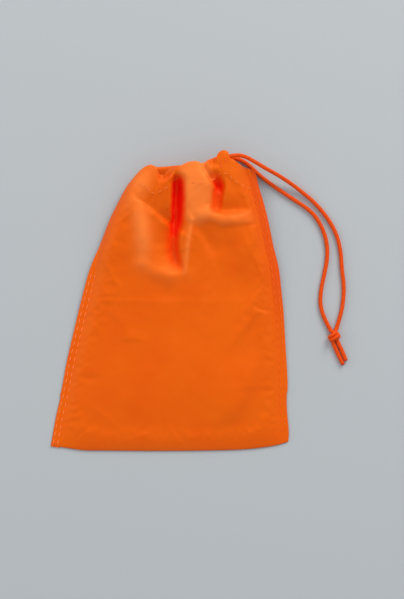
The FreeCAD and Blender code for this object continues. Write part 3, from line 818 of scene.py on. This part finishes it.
def stitch(mesh, a, b, up, width, height):
    """One stitch from a to b, its ends rounded where they dive into the cloth."""
    way = (b - a).normalized()
    side = up.cross(way).normalized()
    top = way.cross(side)
    ball = bmesh.ops.create_uvsphere(mesh, u_segments=8, v_segments=6, radius=1)
    for vert in ball["verts"]:
        x, y, z = vert.co
        reach = math.copysign(abs(z) ** 0.7, z) * (b - a).length / 2
        vert.co = (a + b) / 2 + way * reach + side * x * width / 2 * MM + top * y * height / 2 * MM


def left_row(surface, inset):
    """The left seam's stitches: on top until the seam is turned, then on the underside."""
    mesh = bmesh.new()
    on_top = offset_line(LEFT_EDGE, inset, 0.012, STITCH_TURN)
    turned = offset_line(LEFT_EDGE, inset, STITCH_TURN, 0.93)
    stitch_row(mesh, surface, on_top, length=3.0, pitch=4.8)
    stitch_row(mesh, surface, turned, from_above=False)
    return mesh


def right_row(surface, inset):
    """The right seam's stitches, on top all the way."""
    mesh = bmesh.new()
    stitch_row(mesh, surface, offset_line(RIGHT_EDGE[::-1], inset, 0.07, 0.988))
    return mesh


def hem_row(surface, lip, from_above):
    """Small stitches that hold the hem, on the front or on the back."""
    across = np.linspace(0.03, 0.97, 200)
    up = np.full_like(across, 1 - HEM_ROW_INSET / SACK_LENGTH)
    line = Patch(lip).place(across, up)
    mesh = bmesh.new()
    stitch_row(mesh, surface, line, from_above, length=2.8, pitch=4.4, width=0.45, height=0.24)
    return mesh


def bar_tack(mesh, surface, centre, way, length, width):
    """A dense bar of thread across the end of the hem."""
    threads = 9
    proud = 0.12
    across = np.array([-way[1], way[0]])
    for k in range(threads):
        middle = centre + across * (k / (threads - 1) - 0.5) * (length - 0.4)
        lean = across * 0.25 * (-1) ** k
        a, up = lay_on(surface, *(middle - way * width / 2 - lean), proud)
        b, _ = lay_on(surface, *(middle + way * width / 2 + lean), proud)
        if a is not None and b is not None:
            stitch(mesh, a, b, up, width=0.5, height=0.42)


def exit_tacks(surface):
    """The bar tacks on both sides of the cord's way out."""
    mesh = bmesh.new()
    way = np.array([math.cos(math.radians(HEM_ANGLE)), math.sin(math.radians(HEM_ANGLE))])
    for middle in BAR_TACKS:
        bar_tack(mesh, surface, np.array(middle), way, BAR_TACK_LENGTH, BAR_TACK_WIDTH)
    return mesh


def sewn_line(name, node, mesh, thread):
    """A finished row of stitches, in place of its plain node."""
    line = shown(name, mesh)
    line.data.materials.append(thread)
    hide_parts(node)
    return line


# ---------------------------------------------------------------- cords
def cord_line(name, splines, diameter):
    """A smooth NURBS cord through the control points of each spline, in millimetres."""
    curve = bpy.data.curves.new(name, "CURVE")
    curve.dimensions = "3D"
    curve.bevel_depth = diameter / 2 * MM
    curve.bevel_resolution = 4
    curve.resolution_u = 10
    curve.use_fill_caps = True
    for places in splines:
        line = curve.splines.new("NURBS")
        line.points.add(len(places) - 1)
        for point, (x, y, z) in zip(line.points, places):
            point.co = (x * MM, y * MM, z * MM, 1)
        line.order_u = 3
        line.use_endpoint_u = True
    cord = bpy.data.objects.new(name, curve)
    bpy.context.scene.collection.objects.link(cord)
    return cord


def leg_route(offsets, exit_height):
    """Control points of one leg, which comes down from the channel's exit_height to the table."""
    low = CORD_DIAMETER / 2
    return [
        (CORD_EXIT[0] + x, CORD_EXIT[1] + y, low + share * (exit_height - low))
        for x, y, share in offsets
    ]


def tail_route(offsets, side):
    """Control points of one tail: its own line, moved to one side of the other tail's."""
    start_x = CORD_EXIT[0] + side * TAIL_ASIDE[0]
    start_y = CORD_EXIT[1] + side * TAIL_ASIDE[1]
    return [(start_x + x, start_y + y, CORD_DIAMETER / 2) for x, y in offsets]


def knot_strands():
    """Both cords of the knot: in from a leg, over and round each other, and out to a tail."""
    centre = Vector((*KNOT_CENTRE, 0))
    along, across = (Vector((*way, 0)) for way in KNOT_ALONG)
    up = Vector((0, 0, 1))
    return [
        [tuple(centre + a * along + b * across + z * up) for a, b, z in strand]
        for strand in KNOT_STRANDS
    ]


def melted_tip(name, tail_end, way):
    """The end of a tail, melted shut: a small hard cap, a little wider than the cord."""
    half_width, half_depth, half_length = TIP_HALF_SIZE
    mesh = bmesh.new()
    bmesh.ops.create_uvsphere(mesh, u_segments=20, v_segments=12, radius=1)
    turn = Vector((*way, 0)).to_track_quat("Z", "Y")
    for vert in mesh.verts:
        x, y, z = vert.co
        lump = 1 + 0.07 * noise.noise(vert.co * 2.3 + Vector(tail_end))
        full = math.copysign(abs(z) ** 0.8, z)
        cap = Vector((x * half_width * lump, y * half_depth * lump, full * half_length))
        vert.co = (Vector(tail_end) + turn @ cap) * MM
    return shown(name, mesh)


def channel_route(surface):
    """The cord inside the hem: along the front, round the far end and back along the back."""
    front = []
    for x, y in CHANNEL_FRONT:
        top, _ = lay_on(surface, x, y)
        front.append((x, y, top.z / MM - FRONT_ROLL - CORD_DEPTH))
    start = [(CORD_EXIT[0], CORD_EXIT[1], FRONT_CORD_HEIGHT)]
    back = [(x, y, BACK_RUN_HEIGHT) for x, y in CHANNEL_BACK]
    end = [(CORD_EXIT[0], CORD_EXIT[1], BACK_CORD_HEIGHT)]
    return start + front + list(CHANNEL_BEND) + back + end


def follow_cloth(piece):
    """Bakes the piece's placement into its mesh."""
    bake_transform(piece)


# ---------------------------------------------------------------- make
set_camera()
outer_leg = cord_line("outer_leg_cord", [leg_route(OUTER_LEG, FRONT_CORD_HEIGHT)], CORD_DIAMETER)
inner_leg = cord_line("inner_leg_cord", [leg_route(INNER_LEG, BACK_CORD_HEIGHT)], CORD_DIAMETER)
set_studio()
weave = plain_weave_group()
# The cloth's own orange, with a painted highlight on fold tops and a painted red glow of light deep in
# folds.
nylon = cloth_finish(
    "orange_nylon", weave, dark=(0.79, 0.076, 0.0), light=(0.85, 0.116, 0.0),
    painted_highlight=(1.0, 0.215, 0.038), doubled=(0.78, 0.066, 0.002), painted_glow=(1.0, 0.003, 0.0),
)
cord_orange = cord_finish("orange_cord", (0.66, 0.035, 0.002), (0.90, 0.10, 0.008))
tip_orange = plain_finish("melted_cord_end", (0.55, 0.03, 0.002), 0.35)
thread_pale = plain_finish("pale_orange_thread", (1.0, 0.22, 0.045), 0.5)
thread_orange = plain_finish("orange_thread", (0.95, 0.13, 0.005), 0.5)

# cloth
front = sewn_sheet(Patch(FRONT_LIP), front_height, -1, FRONT_ROLL)
back = sewn_sheet(Patch(BACK_LIP), back_height, 1, BACK_ROLL)
sack = shown("sack_cloth", joined([front, back], weld=0.1 * MM))
sack.data.materials.append(nylon)
settle(sack, [value.value for value in sack.data.attributes["held_fast"].data])
smooth = sack.modifiers.new("smooth", "SUBSURF")
smooth.levels = smooth.render_levels = 1
bpy.context.view_layer.update()
sack_surface = surface_of(sack)

# sewing
sewing = []
for side, side_row, thread in (("left", left_row, thread_pale), ("right", right_row, thread_orange)):
    for row, inset in (("outer", OUTER_ROW), ("inner", INNER_ROW)):
        mesh = side_row(sack_surface, inset)
        sewing.append(sewn_line(f"{side}_{row}_row", f"{side}_{row}_stitches", mesh, thread))
for side, lip, above in (("front", FRONT_LIP, True), ("back", BACK_LIP, False)):
    mesh = hem_row(sack_surface, lip, above)
    sewing.append(sewn_line(f"{side}_hem_row", f"{side}_hem_stitches", mesh, thread_pale))
mesh = exit_tacks(sack_surface)
sewing.append(sewn_line("exit_bar_tack_threads", "exit_bar_tacks", mesh, thread_orange))
for line in sewing:
    follow_cloth(line)

# the rest of the cord
channel = cord_line("channel_run_cord", [channel_route(sack_surface)], CORD_DIAMETER)
knot = cord_line("overhand_knot", knot_strands(), KNOT_CORD_DIAMETER)
tail_a = cord_line("tail_a_cord", [tail_route(TAIL_A, -1)], CORD_DIAMETER)
tail_b = cord_line("tail_b_cord", [tail_route(TAIL_B, 1)], CORD_DIAMETER)
tips = []
for name, offsets, side in (("tail_a_melted_tip", TAIL_A, -1), ("tail_b_melted_tip", TAIL_B, 1)):
    before, last = (Vector(place) for place in tail_route(offsets, side)[-2:])
    way = (last - before).normalized()
    tips.append(melted_tip(name, tuple(last + way * TIP_REACH), way[:2]))
for cord, node, finish, slot in (
    (outer_leg, "outer_leg", cord_orange, "cord"), (inner_leg, "inner_leg", cord_orange, "cord"),
    (channel, "channel_cord", cord_orange, "cord"), (knot, "knot", cord_orange, "cord"),
    (tail_a, "tail_a", cord_orange, "cord"), (tail_b, "tail_b", cord_orange, "cord"),
    (tips[0], "tail_a_tip", tip_orange, "cord_tip"), (tips[1], "tail_b_tip", tip_orange, "cord_tip"),
):
    cord.data.materials.append(finish)
    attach(cord, "drawcord")
    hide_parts(node)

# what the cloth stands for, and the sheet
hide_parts("front_panel", "back_panel", "left_seam", "right_seam", "front_casing", "back_casing",
            "casing_far_end")
follow_cloth(sack)
